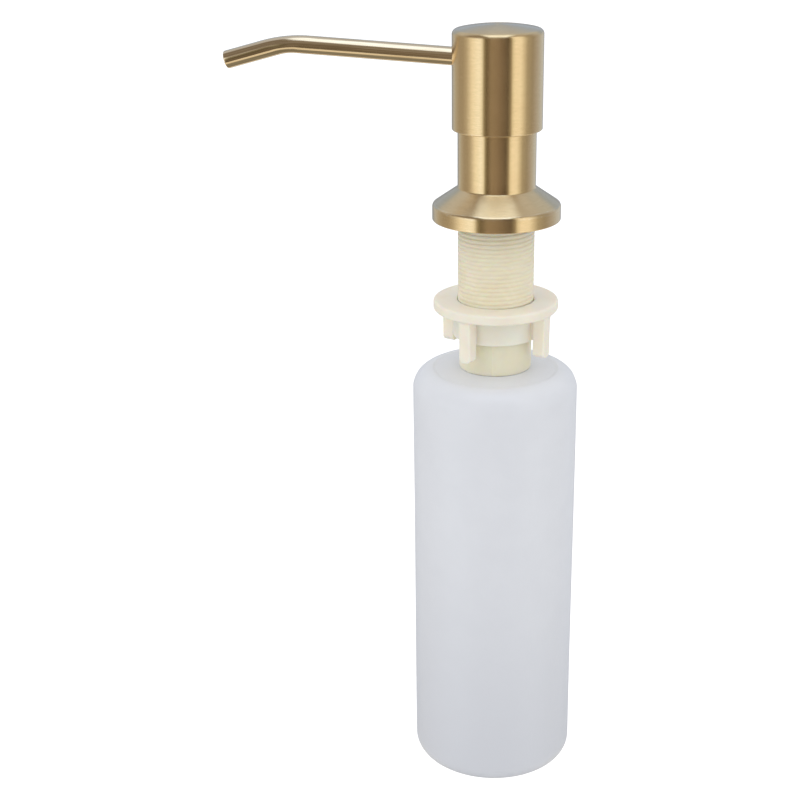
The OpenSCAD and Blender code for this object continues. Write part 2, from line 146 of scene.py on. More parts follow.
def brushed_gold():
    """Gold-coated steel, brushed round its axis: fine lines, a slow drift of tone and rubbed edges."""
    made, t = material("brushed_gold")
    hair = t.noise(t.turned(9.0, 5.5), detail=2.0, roughness=0.6)
    lines = t.noise(t.turned(5.0, 2.2), detail=3.0, roughness=0.65)
    drift = t.noise(t.turned(0.9, 0.12), detail=2.0)
    fleck = t.noise(t.millimetres(), scale=1.1, detail=4.0, roughness=0.7)
    edge = t.add("Attribute", attribute_name="edge").outputs["Fac"]
    worn = t.math("MULTIPLY", edge, t.ramp(fleck, 0.50, 0.68, 0.15, 0.75), clamp=True)
    tone = t.mix(t.ramp(lines, 0.32, 0.68), (0.775, 0.60, 0.34), (0.825, 0.64, 0.375))
    tone = t.mix(t.ramp(drift, 0.35, 0.7, 0.0, 0.35), tone, (0.79, 0.59, 0.335))
    tone = t.mix(t.ramp(hair, 0.58, 0.76, 0.0, 0.35), tone, (0.64, 0.49, 0.28))
    tone = t.mix(worn, tone, WORN_GOLD)
    grip = t.math("ADD", t.ramp(hair, 0.3, 0.7, -0.012, 0.02), t.ramp(drift, 0.3, 0.7, 0.185, 0.21))
    grip = t.math("SUBTRACT", grip, t.math("MULTIPLY", worn, 0.05))
    normal = t.bump(hair, 0.07, 0.00002, t.bump(lines, 0.05, 0.00003))
    tangent = t.add("Tangent", direction_type="RADIAL", axis="Z").outputs[0]
    surface(t, {
        "Base Color": tone,
        "Metallic": 1.0,
        "Roughness": grip,
        "Anisotropic": 1.0,
        "Anisotropic Rotation": 0.25,
        "Normal": normal,
        "Tangent": tangent,
    })
    return made


def drawn_gold():
    """Gold-coated tube with fine lines along its length and a few handling marks."""
    made, t = material("drawn_gold")
    x, y, s = t.split(t.add("Attribute", attribute_name="tube").outputs["Vector"])
    def along(around, length):
        parts = [t.math("MULTIPLY", v, k) for v, k in ((x, around), (y, around), (s, length))]
        return t.join(*parts)
    lines = t.noise(along(9.0, 0.045), detail=3.0, roughness=0.65)
    hair = t.noise(along(26.0, 0.12), detail=2.0, roughness=0.6)
    marks = t.noise(along(3.0, 0.35), detail=4.0, roughness=0.7)
    tone = t.mix(t.ramp(lines, 0.35, 0.65), (0.66, 0.53, 0.35), (0.85, 0.72, 0.52))
    tone = t.mix(t.ramp(marks, 0.62, 0.80, 0.0, 0.5), tone, (0.60, 0.47, 0.30))
    grip = t.math("ADD", t.ramp(lines, 0.3, 0.7, 0.08, 0.13), t.ramp(marks, 0.55, 0.8, 0.0, 0.06))
    normal = t.bump(hair, 0.10, 0.00002, t.bump(lines, 0.16, 0.00004))
    surface(t, {
        "Base Color": tone,
        "Metallic": 1.0,
        "Roughness": grip,
        "Normal": normal,
    })
    return made


def moulded(name, deep, pale, roughness, scatter, reach, grain=0.35, ripple=0.10, painted_foot_shade=None):
    """Moulded plastic: cloudy tone, faint ripples, fine grain and soaked-in light, with painted shade that
    darkens it towards the bottom.
    """
    made, t = material(name)
    place = t.millimetres()
    cloud = t.noise(place, scale=0.09, detail=3.0)
    flow = t.noise(place, scale=0.35, detail=2.0)
    fine = t.noise(place, scale=3.2, detail=3.0, roughness=0.6)
    speck = t.noise(place, scale=1.7, detail=5.0, roughness=0.75)
    tone = t.mix(t.ramp(cloud, 0.3, 0.7), deep, pale)
    tone = t.mix(t.ramp(speck, 0.70, 0.84, 0.0, 0.12), tone, tuple(0.8 * c for c in deep))
    # Painted shade: the colour is mixed towards a darker tone lower down, standing in for light that falls
    # off towards the bottom
    if painted_foot_shade:
        tone = t.mix(t.ramp(t.split(place)[2], -250.0, -110.0, 1.0, 0.0), tone, painted_foot_shade)
    grip = t.math("ADD", t.ramp(flow, 0.3, 0.7, roughness - 0.04, roughness + 0.05),
                  t.ramp(fine, 0.3, 0.7, -0.03, 0.03))
    normal = t.bump(fine, grain, 0.00002, t.bump(flow, ripple, 0.0002))
    surface(t, {
        "Base Color": tone,
        "Roughness": grip,
        "Subsurface Weight": scatter,
        "Subsurface Radius": reach,
        "Subsurface Scale": 1.0,
        "IOR": 1.5,
        "Normal": normal,
    })
    return made


def rubber():
    made, t = material("black_rubber")
    place = t.millimetres()
    bloom = t.noise(place, scale=0.4, detail=4.0)
    grain = t.noise(place, scale=6.0, detail=2.0)
    surface(t, {
        "Base Color": t.mix(t.ramp(bloom, 0.4, 0.75), (0.018, 0.018, 0.019), (0.05, 0.05, 0.052)),
        "Roughness": t.ramp(bloom, 0.3, 0.7, 0.62, 0.8),
        "Normal": t.bump(grain, 0.4, 0.00003),
    })
    return made


def bright_steel():
    made, t = material("bright_steel")
    place = t.millimetres()
    drawn = t.noise(place, scale=5.0, detail=3.0)
    haze = t.noise(place, scale=0.6, detail=3.0)
    surface(t, {
        "Base Color": t.mix(t.ramp(haze, 0.35, 0.7), (0.60, 0.61, 0.63), (0.72, 0.73, 0.75)),
        "Metallic": 1.0,
        "Roughness": t.ramp(drawn, 0.3, 0.7, 0.12, 0.26),
        "Normal": t.bump(drawn, 0.15, 0.00001),
    })
    return made


def clear_tube():
    """Milky tube: part of the light goes through it."""
    made, t = material("clear_tube")
    place = t.millimetres()
    haze = t.noise(place, scale=0.15, detail=3.0)
    streak = t.noise(t.turned(1.5, 0.05), detail=1.0)
    surface(t, {
        "Base Color": t.mix(t.ramp(haze, 0.3, 0.7), (0.70, 0.75, 0.78), (0.84, 0.87, 0.89)),
        "Roughness": t.ramp(streak, 0.3, 0.7, 0.22, 0.34),
        "Transmission Weight": 0.55,
        "IOR": 1.45,
    })
    return made


MATERIALS = {
    "brushed_gold": brushed_gold(),
    "polished_gold": drawn_gold(),
    "ivory_plastic": moulded("ivory_plastic", (0.845, 0.77, 0.58), (0.885, 0.82, 0.64), 0.36, 0.6,
                             (0.003, 0.0021, 0.001)),
    "nut_plastic": moulded("nut_plastic", (0.88, 0.825, 0.70), (0.905, 0.865, 0.755), 0.38, 0.55,
                           (0.003, 0.0022, 0.0012)),
    # The darkest colour given to the bottle is painted shade for its lower part
    "frosted_bottle": moulded("frosted_bottle", (0.752, 0.772, 0.812), (0.767, 0.787, 0.827), 0.42, 0.25,
                              (0.002, 0.002, 0.002), grain=0.2, ripple=0.25, painted_foot_shade=(0.65, 0.67, 0.715)),
    "natural_plastic": moulded("natural_plastic", (0.76, 0.78, 0.78), (0.83, 0.84, 0.83), 0.36, 0.2,
                               (0.0012, 0.0012, 0.0011)),
    "clear_tube": clear_tube(),
    "black_rubber": rubber(),
    "bright_steel": bright_steel(),
}


# ---------------------------------------------------------------- mesh helpers


def outline(corners, closed=True, step=9.0):
    """Rounds the corners [x, z, radius] of an outline.

    Gives [x, z, edge], where edge is 1 on a small convex round.
    """
    count = len(corners)
    area = sum(corners[i][0] * corners[(i + 1) % count][1] - corners[(i + 1) % count][0] * corners[i][1]
               for i in range(count))
    points = []
    for i, (x, z, radius) in enumerate(corners):
        here = Vector((x, z))
        if radius <= 0 or (not closed and i in (0, count - 1)):
            points.append((x, z, 0.0))
            continue
        back = (Vector(corners[i - 1][:2]) - here).normalized()
        ahead = (Vector(corners[(i + 1) % count][:2]) - here).normalized()
        half = math.acos(max(-1.0, min(1.0, back.dot(ahead)))) / 2
        centre = here + (back + ahead).normalized() * (radius / math.sin(half))
        start = here + back * (radius / math.tan(half)) - centre
        end = here + ahead * (radius / math.tan(half)) - centre
        turn = math.atan2(start.x * end.y - start.y * end.x, start.dot(end))
        first = math.atan2(start.y, start.x)
        convex = turn * area > 0
        steps = max(3, math.ceil(abs(math.degrees(turn)) / step))
        for k in range(steps + 1):
            a = first + turn * k / steps
            points.append((centre.x + radius * math.cos(a), centre.y + radius * math.sin(a),
                           1.0 if convex and radius < 2 else 0.0))
    return points


def filled(points, longest, closed=True):
    """Adds points so that no stretch of the outline is longer than this, and fades the edge mark nearby."""
    result = []
    count = len(points)
    for i in range(count if closed else count - 1):
        (x0, z0, e0), (x1, z1, e1) = points[i], points[(i + 1) % count]
        length = math.hypot(x1 - x0, z1 - z0)
        stops = {0.0}
        if length > 1.5 and e0:
            stops.add(0.5 / length)
        if length > 1.5 and e1:
            stops.add(1 - 0.5 / length)
        pieces = math.ceil(length / longest)
        stops.update(k / pieces for k in range(1, pieces))
        for s in sorted(stops):
            mark = e0 if s == 0 else 0.0
            result.append((x0 + (x1 - x0) * s, z0 + (z1 - z0) * s, mark))
    if not closed:
        result.append(points[-1])
    return result


def new_object(name, verts, faces):
    mesh = bpy.data.meshes.new(name)
    mesh.from_pydata([tuple(c * MM for c in v) for v in verts], [], faces)
    mesh.validate()
    mesh.update()
    made = bpy.data.objects.new(name, mesh)
    scene.collection.objects.link(made)
    return made


def lathe(name, points, angles, shape=None, closed=True):
    """Turns an outline of [x, z, edge] round the axis. shape(x, z, angle) may move a point."""
    verts, faces, rings, marks = [], [], [], []
    for x, z, mark in points:
        if abs(x) < 1e-6:
            rings.append([len(verts)] * len(angles))
            verts.append((0.0, 0.0, z))
            marks.append(mark)
            continue
        rings.append(list(range(len(verts), len(verts) + len(angles))))
        for a in angles:
            px, pz = shape(x, z, a) if shape else (x, z)
            verts.append((px * math.cos(a), px * math.sin(a), pz))
            marks.append(mark)
    count = len(points)
    for i in range(count if closed else count - 1):
        low, high = rings[i], rings[(i + 1) % count]
        for k in range(len(angles)):
            n = (k + 1) % len(angles)
            corners = [low[k], low[n], high[n], high[k]]
            face = [c for j, c in enumerate(corners) if c not in corners[:j]]
            if len(face) > 2:
                faces.append(face)
    made = new_object(name, verts, faces)
    attribute = made.data.attributes.new("edge", "FLOAT", "POINT")
    attribute.data.foreach_set("value", marks)
    return made


def even_angles(count):
    return [2 * math.pi * k / count for k in range(count)]


def settled(obj):
    """Applies the modifiers of a mesh object."""
    depsgraph = bpy.context.evaluated_depsgraph_get()
    mesh = bpy.data.meshes.new_from_object(obj.evaluated_get(depsgraph))
    obj.modifiers.clear()
    obj.data = mesh
    return obj


def outward(obj):
    """Turns every face outwards."""
    work = bmesh.new()
    work.from_mesh(obj.data)
    bmesh.ops.recalc_face_normals(work, faces=work.faces)
    work.to_mesh(obj.data)
    work.free()
    return obj


def finish_piece(obj, body, slot, nodes, sharp=38.0):
    """Shades a piece that replaces CAD nodes, gives it its material, fastens it to its body and hides those
    nodes.
    """
    outward(obj)
    obj.data.shade_smooth()
    obj.data.set_sharp_from_angle(angle=math.radians(sharp))
    obj.data.materials.clear()
    obj.data.materials.append(MATERIALS[slot])
    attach(obj, body)
    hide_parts(*nodes)
    return obj


# ---------------------------------------------------------------- spout's centre line

SPOUT_R = 3.5
BORE_R = 2.7
RISE = math.radians(3.2)
FALL = math.radians(15.5)
BEND = (82.5, 65.75)
TIP_REACH = 107.0
ROOT_REACH = 6.5
OUTER_BEND, INNER_BEND = 60.0, 20.0
BEND_BULGE = 0.035
HOLE_GAP = 0.06
HOLE_REACH = 4


def spout_height(reach):
    return BEND[1] - (BEND[0] - reach) * math.tan(RISE)


def bend_section(radius, outer_round, inner_round, share):
    """Upper and lower point of the tube in the bend, where share runs from 0 to 1 through it."""
    slope = RISE - (RISE + FALL) * share
    half = (RISE + FALL) / 2
    points = []
    for side, rounding in ((1, outer_round), (-1, inner_round)):
        middle = (RISE - FALL) / 2
        corner = (BEND[0] - side * radius / math.cos(half) * math.sin(middle),
                  BEND[1] + side * radius / math.cos(half) * math.cos(middle))
        back = rounding * math.tan(half)
        start = (corner[0] - back * math.cos(RISE), corner[1] - back * math.sin(RISE))
        points.append((start[0] + rounding * (math.sin(RISE) - math.sin(slope)),
                       start[1] - rounding * (math.cos(RISE) - math.cos(slope))))
    return points


def tube_skin(radius, shrink):
    """Stations of the tube's skin: upper point, lower point, half width and distance along, in mm."""
    stations = []
    for reach in (ROOT_REACH, 13.0, 20.0, 30.0, 40.0, 50.0, 60.0, 68.0):
        z = spout_height(reach)
        dx, dz = -radius * math.sin(RISE), radius * math.cos(RISE)
        stations.append(((reach + dx, z + dz), (reach - dx, z - dz), radius, reach))
    steps = 20
    for k in range(steps + 1):
        share = k / steps
        upper, lower = bend_section(radius, OUTER_BEND, INNER_BEND, share)
        wide = radius * (1 + BEND_BULGE * math.sin(math.pi * share) ** 2)
        stations.append((upper, lower, wide, (upper[0] + lower[0]) / 2))
    for back, less in shrink:
        reach = TIP_REACH - back * math.cos(FALL)
        z = BEND[1] - (reach - BEND[0]) * math.tan(FALL)
        r = radius - less
        dx, dz = r * math.sin(FALL), r * math.cos(FALL)
        stations.append(((reach + dx, z + dz), (reach - dx, z - dz), r, reach))
    return stations


def spout_pipe():
    sides = 72
    # Distance back from the tip, and how much smaller the radius is there (negative is larger)
    outer = tube_skin(SPOUT_R, ((13.0, 0), (9.0, 0), (5.0, 0), (2.0, 0), (0.5, 0),
                                (0.30, 0.015), (0.16, 0.06), (0.06, 0.14), (0.0, 0.27)))
    inner = tube_skin(BORE_R, ((13.0, 0), (8.0, 0), (2.0, 0), (0.4, 0), (0.15, -0.03), (0.0, -0.16)))
    stations = outer + inner[::-1]
    verts, tube, faces = [], [], []
    for upper, lower, wide, along in stations:
        for k in range(sides):
            a = 2 * math.pi * k / sides
            c, s = math.cos(a), math.sin(a)
            reach = (upper[0] + lower[0]) / 2 + c * (upper[0] - lower[0]) / 2
            z = (upper[1] + lower[1]) / 2 + c * (upper[1] - lower[1]) / 2
            verts.append((-reach, wide * s, z))
            tube.append((c, s, along))
    for i in range(len(stations)):
        j = (i + 1) % len(stations)
        for k in range(sides):
            n = (k + 1) % sides
            faces.append([i * sides + k, i * sides + n, j * sides + n, j * sides + k])
    made = new_object("spout_pipe", verts, faces)
    attribute = made.data.attributes.new("tube", "FLOAT_VECTOR", "POINT")
    attribute.data.foreach_set("vector", [v for point in tube for v in point])
    return finish_piece(made, "head", "polished_gold", ["spout_tube"])


# ---------------------------------------------------------------- head, collar

HEAD_R = 17.35
HEAD_TOP = 74.3
HEAD_WALL = 1.2
HEAD_ROUND = 2.0
DOME_R = 75.0
SKIRT = 35.0


def dome(x):
    return HEAD_TOP - x * x / (2 * DOME_R)


def head_cap():
    inner, ceiling = HEAD_R - HEAD_WALL, dome(HEAD_R) - HEAD_WALL
    crown = [(x, dome(x), 0.0) for x in (0, 1, 2, 3.5, 5, 7, 9, 11, 12.5, 14)]
    side = outline([
        (14, dome(14), 0), (HEAD_R, dome(HEAD_R), HEAD_ROUND), (HEAD_R, SKIRT, 0.35),
        (inner, SKIRT, 0.3), (inner, ceiling, HEAD_ROUND - HEAD_WALL), (13, ceiling, 0)], step=6.0)
    points = filled(crown[:-1] + side + [(0, ceiling, 0.0)], 4.0, closed=False)
    cap = lathe("head_cap", points, even_angles(288), closed=False)
    hole = SPOUT_R + HOLE_GAP
    cutter = lathe("spout_hole", [(0, -HOLE_REACH, 0), (hole, -HOLE_REACH, 0), (hole, HOLE_REACH, 0),
                                  (0, HOLE_REACH, 0)], even_angles(72), closed=False)
    outward(cap)
    outward(cutter)
    cutter.matrix_world = (Matrix.Translation(Vector((-HEAD_R, 0, spout_height(HEAD_R))) * MM)
                           @ Matrix.Rotation(RISE - math.pi / 2, 4, "Y"))
    cut = cap.modifiers.new("hole", "BOOLEAN")
    cut.operation = "DIFFERENCE"
    cut.solver = "EXACT"
    cut.object = cutter
    bpy.context.view_layer.update()
    settled(cap)
    bpy.data.objects.remove(cutter)
    old = cap.data.attributes.get("edge")
    if old:
        cap.data.attributes.remove(old)
    attribute = cap.data.attributes.new("edge", "FLOAT", "POINT")
    for i, v in enumerate(cap.data.vertices):
        r, z = math.hypot(v.co.x, v.co.y) / MM, v.co.z / MM
        attribute.data[i].value = min(points, key=lambda p: (p[0] - r) ** 2 + (p[1] - z) ** 2)[2]
    return finish_piece(cap, "head", "brushed_gold", ["head_shell"])


FLANGE_R = 25
NECK_R = 15.15
COLLAR_WALL = 1
RIM_TOP, INNER_RIM_TOP = 5.8, 5.276
CONE_TOP, INNER_CONE_TOP = 12.6, 12.077
COLLAR_TOP = 36.5


def collar_shell():
    rim, neck = FLANGE_R - COLLAR_WALL, NECK_R - COLLAR_WALL
    corners = [(rim, 0, 0.2), (FLANGE_R, 0, 0.35), (FLANGE_R, RIM_TOP, 1.5), (NECK_R, CONE_TOP, 1.0),
               (NECK_R, COLLAR_TOP, 0.3), (neck, COLLAR_TOP, 0.2), (neck, INNER_CONE_TOP, 0),
               (rim, INNER_RIM_TOP, 0)]
    points = filled(outline(corners, step=6.0), 3.0)
    made = lathe("collar_shell", points, even_angles(288))
    return finish_piece(made, "mount", "brushed_gold", ["collar"])


# ---------------------------------------------------------------- shank

PITCH = 1.75
THREAD_DEPTH = 0.3
THREAD_END = -45.5
PARTING = math.radians(-85.5)
CREST_R = 15.0
END_R = 14.4
SHANK_END = -60.6
LEAD_IN = 1.2
RUN_OUT = 1.6
FLASH = 0.08
FLASH_SPREAD = 0.034
SHANK_BORE_R = 11.6
CORE_R = 14.1
CORE_FLANGE_R, CORE_FLANGE_TOP = 23.95, 4.8
GASKET = 1.2
SOCKET_R, SOCKET_LIP = 12.8, -46.5
CREST_SHARE, ROOT_START, ROOT_END = 0.34, 0.56, 0.74


def near_parting(angle, spread):
    """1 on the mould's parting line and its opposite side, 0 further away than spread (radians)."""
    off = abs((angle - PARTING + math.pi / 2) % math.pi - math.pi / 2)
    return max(0.0, 1 - (off / spread) ** 2)


def thread_form(turns):
    """Depth of the rounded thread, from 0 on the crest to 1 in the root, over one turn."""
    t = turns % 1.0
    if t < CREST_SHARE:
        return 0.0
    if t < ROOT_START:
        return 0.5 - 0.5 * math.cos(math.pi * (t - CREST_SHARE) / (ROOT_START - CREST_SHARE))
    if t < ROOT_END:
        return 1.0
    return 0.5 + 0.5 * math.cos(math.pi * (t - ROOT_END) / (1 - ROOT_END))


def shank():
    angles = parting_angles(216, PARTING)

    def shape(x, z, a):
        flash = FLASH * near_parting(a, FLASH_SPREAD)
        if x > 14.3 and THREAD_END - 0.01 <= z <= 0.01:
            share = min(1.0, max(0.0, (z - THREAD_END) / RUN_OUT))
            fade = min(1.0, max(0.0, -z / LEAD_IN)) * share
            depth = THREAD_DEPTH * thread_form(-z / PITCH + a / (2 * math.pi)) * fade
            crest = END_R + (CREST_R - END_R) * share
            return crest - depth + flash * (0.3 if share == 1.0 else 0.6), z
        if x > 14.2 and z < THREAD_END:
            return x + flash, z
        return x, z

    rows = 300
    thread = [(CREST_R, THREAD_END * k / rows, 0.0) for k in range(rows + 1)]
    top = outline([
        (SHANK_BORE_R, COLLAR_TOP, 0), (CORE_R, COLLAR_TOP, 0.3), (CORE_R, CORE_FLANGE_TOP, 0),
        (CORE_FLANGE_R, CORE_FLANGE_TOP, 0.3), (CORE_FLANGE_R, GASKET, 0), (CREST_R, GASKET, 0),
        (CREST_R, 0.0, 0)], closed=False)[:-1]
    bottom = outline([
        (END_R, THREAD_END - 0.3, 0), (END_R, SHANK_END, 0.5), (SOCKET_R, SHANK_END, 0.3),
        (SOCKET_R, SOCKET_LIP, 0), (SHANK_BORE_R, SOCKET_LIP, 0.2), (SHANK_BORE_R, COLLAR_TOP, 0)],
        closed=False)[:-1]
    points = filled(top, 6.0, closed=False) + thread + filled(bottom, 3.0, closed=False)
    made = lathe("shank", points, angles, shape=shape)
    return finish_piece(made, "mount", "ivory_plastic", ["threaded_shank"], sharp=45.0)


def parting_angles(count, parting):
    """Even angles, with narrow steps at a mould's parting line and at the opposite side."""
    angles = set(round(a, 6) for a in even_angles(count))
    for side in (0, math.pi):
        middle = (parting + side) % (2 * math.pi)
        angles = {a for a in angles if abs((a - middle + math.pi) % (2 * math.pi) - math.pi) > 0.05}
        angles |= {round((middle + k * 0.0085) % (2 * math.pi), 6) for k in range(-5, 6)}
    return sorted(angles)


# ---------------------------------------------------------------- wing nut

NUT_TOP = -32.4
NUT_BOTTOM = -36.4
HUB_BOTTOM = -47.3
WING_BOTTOM = -53.2
WING_ANGLES = (68, 158, 248, 338)
WING_TAPER = 0.35
WING_HALF, WING_INNER, WING_OUTER, WING_CORNER = 2.5, 18.6, 23.8, 1.8
WEB_HALF, WEB_INNER, WEB_OUTER, WEB_CORNER = 1.3, 16.2, 19.6, 0.3
NUT_R, HUB_R, NUT_BORE_R = 24.7, 17.0, 15.1
VOXEL = 0.30


def prism(columns):
    """Closed mesh through columns of four points each."""
    verts = [p for column in columns for p in column]
    faces = [[3, 2, 1, 0]]
    for i in range(len(columns) - 1):
        a, b = 4 * i, 4 * (i + 1)
        faces += [[a + k, a + (k + 1) % 4, b + (k + 1) % 4, b + k] for k in range(4)]
    last = 4 * (len(columns) - 1)
    faces.append([last, last + 1, last + 2, last + 3])
    return verts, faces


def wing_columns(half, inner, outer, top, bottom, corner, taper=0.0):
    columns = []
    for k in range(-12, 13):
        t = half * k / 12
        over = abs(t) - (half - corner)
        z = bottom + (corner - math.sqrt(max(0.0, corner ** 2 - over ** 2)) if over > 0 else 0.0)
        x_out, x_in = math.sqrt(outer ** 2 - t * t), math.sqrt(inner ** 2 - t * t)
        columns.append([(x_out, t, top), (x_out - taper, t, z), (x_in, t, z), (x_in, t, top)])
    return columns


def turned_by(verts, degrees):
    a = math.radians(degrees)
    c, s = math.cos(a), math.sin(a)
    return [(x * c - y * s, x * s + y * c, z) for x, y, z in verts]


def wing_nut():
    body = outline([
        (NUT_BORE_R, HUB_BOTTOM, 0.3), (HUB_R, HUB_BOTTOM, 0.5), (HUB_R, NUT_BOTTOM, 0.6),
        (NUT_R, NUT_BOTTOM, 0.7), (NUT_R, NUT_TOP, 0.9), (15.4, NUT_TOP, 0.1),
        (NUT_BORE_R, NUT_TOP - 0.3, 0)])
    parts = [lathe("nut_body", filled(body, 2.0), even_angles(192))]
    for angle in WING_ANGLES:
        wing = prism(wing_columns(WING_HALF, WING_INNER, WING_OUTER, NUT_BOTTOM + 1, WING_BOTTOM,
                                  WING_CORNER, WING_TAPER))
        web = prism(wing_columns(WEB_HALF, WEB_INNER, WEB_OUTER, NUT_BOTTOM + 1, HUB_BOTTOM + 0.5,
                                 WEB_CORNER))
        for verts, faces in (wing, web):
            parts.append(new_object("nut_part", turned_by(verts, angle), faces))
    for part in parts:
        outward(part)
    verts, faces = [], []
    for part in parts:
        base = len(verts)
        verts += [tuple(c / MM for c in v.co) for v in part.data.vertices]
        faces += [[base + i for i in p.vertices] for p in part.data.polygons]
        bpy.data.objects.remove(part)
    nut = new_object("nut", verts, faces)
    remesh = nut.modifiers.new("union", "REMESH")
    remesh.mode = "VOXEL"
    remesh.voxel_size = VOXEL * MM
    soften = nut.modifiers.new("soften", "SMOOTH")
    soften.factor = 0.5
    soften.iterations = 4
    settled(nut)
    return finish_piece(nut, "nut", "nut_plastic", ["wing_nut"], sharp=60.0)


# ---------------------------------------------------------------- bottle

BOTTLE_R = 33.15
BASE = -237.2
SEAT = -60.6
NECK_TOP = -47.0
SHOULDER = math.tan(math.radians(5.1))
SEAT_R = 14.8
STEP_OUTER, STEP_INNER = 25.2, 24.2
BOTTLE_SEAM = math.radians(9.0)
BOTTLE_NECK_R, BOTTLE_BORE_R, BOTTLE_WALL = 12.0, 10.4, 1
SHOULDER_ROUND, BASE_ROUND = 8.3, 6.6
PUSH_UP, BASE_RING_R = 2.5, 21.5
RIDGE_TOP, RIDGE_END, RIDGE_PITCH, RIDGE = -48.2, -58.6, 3.4, 0.38
RIDGE_FADE = 0.8
SETBACK = 0.09
SEAM_RIDGE = 0.05
SEAM_SPREAD = 0.006


def bottle():
    def shoulder(r):
        return SEAT - (r - SEAT_R) * SHOULDER

    side_top = shoulder(BOTTLE_R)

    def shape(x, z, a):
        if x > 30 and z < -66:
            off = abs((a - BOTTLE_SEAM + math.pi / 2) % math.pi - math.pi / 2)
            wave = 0.05 * math.sin(3 * a + z / 23) + 0.04 * math.sin(2 * a - z / 37)
            seam = SEAM_RIDGE * max(0.0, 1 - (off / SEAM_SPREAD) ** 2)
            return x - SETBACK + wave * min(1.0, (z - BASE) / 20) + seam, z
        if abs(x - BOTTLE_NECK_R) < 0.1 and RIDGE_END < z < RIDGE_TOP:
            turns = (RIDGE_TOP - z) / RIDGE_PITCH + a / (2 * math.pi)
            start = min(1.0, max(0.0, (RIDGE_TOP - z) / RIDGE_FADE))
            end = min(1.0, max(0.0, (z - RIDGE_END) / RIDGE_FADE))
            return x + RIDGE * max(0.0, math.cos(2 * math.pi * turns)) ** 2 * start * end, z
        return x, z

    inner, ground = BOTTLE_R - BOTTLE_WALL, BASE + BOTTLE_WALL
    neck = [(BOTTLE_NECK_R, z / 10, 0.0) for z in range(-600, -476, 4)]
    outside = outline([
        (0, BASE + PUSH_UP, 0), (BASE_RING_R - 5, BASE + PUSH_UP, 2), (BASE_RING_R, BASE, 1.5),
        (BOTTLE_R, BASE, BASE_ROUND), (BOTTLE_R, side_top, SHOULDER_ROUND),
        (STEP_OUTER, shoulder(STEP_OUTER) + 0.05, 0.6), (STEP_INNER, shoulder(STEP_INNER) - 0.30, 0.5),
        (SEAT_R, SEAT, 0.4), (BOTTLE_NECK_R, SEAT, 0.3), (BOTTLE_NECK_R, -60.2, 0)], closed=False)[:-1]
    inside = outline([
        (BOTTLE_NECK_R, -48.0, 0), (BOTTLE_NECK_R, NECK_TOP, 0.5), (BOTTLE_BORE_R, NECK_TOP, 0.5),
        (BOTTLE_BORE_R, SEAT - BOTTLE_WALL, 1), (inner, side_top - BOTTLE_WALL, SHOULDER_ROUND - BOTTLE_WALL),
        (inner, ground, BASE_ROUND - BOTTLE_WALL), (21.0, ground, 1.5),
        (16.0, ground + PUSH_UP, 2), (0, ground + PUSH_UP, 0)], closed=False)[1:]
    points = filled(outside, 5.0, closed=False) + neck + filled(inside, 8.0, closed=False)
    made = lathe("soap_bottle", points, parting_angles(192, BOTTLE_SEAM), shape=shape, closed=False)
    return finish_piece(made, "bottle", "frosted_bottle", ["bottle"])


# ---------------------------------------------------------------- spring

SPRING_FOOT = -14.07
SPRING_LENGTH = 29.64
SPRING_TURNS = 9
COIL_R, WIRE_R, CLOSED_PITCH = 4.2, 0.4, 0.88


def return_spring():
    steps, sides = 40, 12
    open_pitch = (SPRING_LENGTH - 2 * CLOSED_PITCH) / (SPRING_TURNS - 2)
    verts, faces = [], []
    total = SPRING_TURNS * steps
    for i in range(total + 1):
        turns = i / steps
        if turns < 1:
            z = turns * CLOSED_PITCH
        elif turns > SPRING_TURNS - 1:
            z = SPRING_LENGTH - (SPRING_TURNS - turns) * CLOSED_PITCH
        else:
            z = CLOSED_PITCH + (turns - 1) * open_pitch
        a = 2 * math.pi * turns
        end = 0.55 if i in (0, total) else 1.0
        for k in range(sides):
            b = 2 * math.pi * k / sides
            r = COIL_R + WIRE_R * end * math.cos(b)
            verts.append((r * math.cos(a), r * math.sin(a), SPRING_FOOT + z + WIRE_R * end * math.sin(b)))
    for i in range(total):
        for k in range(sides):
            n = (k + 1) % sides
            faces.append([i * sides + k, i * sides + n, (i + 1) * sides + n, (i + 1) * sides + k])
    faces.append(list(range(sides))[::-1])
    faces.append([total * sides + k for k in range(sides)])
    made = finish_piece(new_object("return_spring", verts, faces), "pump", "bright_steel", ["pump_spring"])
    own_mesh(made)
    return made


# ---------------------------------------------------------------- carried-over CAD nodes


def finish_nodes():
    """Gives every CAD node that stays its procedural material and smooth shading."""
    slots = {part["node"]: part["material_slot"] for part in frame["record"]["subparts"]}
    for name, node in frame["nodes"].items():
        mesh = node.data
        mesh.materials.clear()
        mesh.materials.append(MATERIALS[slots[name]])
        mesh.shade_smooth()
        mesh.set_sharp_from_angle(angle=math.radians(35))


# ---------------------------------------------------------------- studio

CAMERA_AZIMUTH = math.radians(-81.0)
CAMERA_REACH = 0.60564
CAMERA_HEIGHT = 0.15366
PAN = math.radians(3.647)
TILT = math.radians(-20.743)
ROLL = math.radians(-0.795)
LENS = 71.56


def camera():
    data = bpy.data.cameras.new("camera")
    data.lens = LENS
    data.sensor_width = 36.0
    data.clip_start = 0.01
    data.clip_end = 50.0
    made = bpy.data.objects.new("camera", data)
    heading = CAMERA_AZIMUTH + math.pi + PAN
    forward = Vector((math.cos(heading) * math.cos(TILT), math.sin(heading) * math.cos(TILT), math.sin(TILT)))
    right = Vector((math.sin(heading), -math.cos(heading), 0.0))
    up = right.cross(forward)
    across = math.cos(ROLL) * right + math.sin(ROLL) * up
    upward = -math.sin(ROLL) * right + math.cos(ROLL) * up
    turn = Matrix((across, upward, -forward)).transposed().to_4x4()
    place = (CAMERA_REACH * math.cos(CAMERA_AZIMUTH), CAMERA_REACH * math.sin(CAMERA_AZIMUTH), CAMERA_HEIGHT)
    made.matrix_world = Matrix.Translation(Vector(place)) @ turn
    scene.collection.objects.link(made)
    scene.camera = made


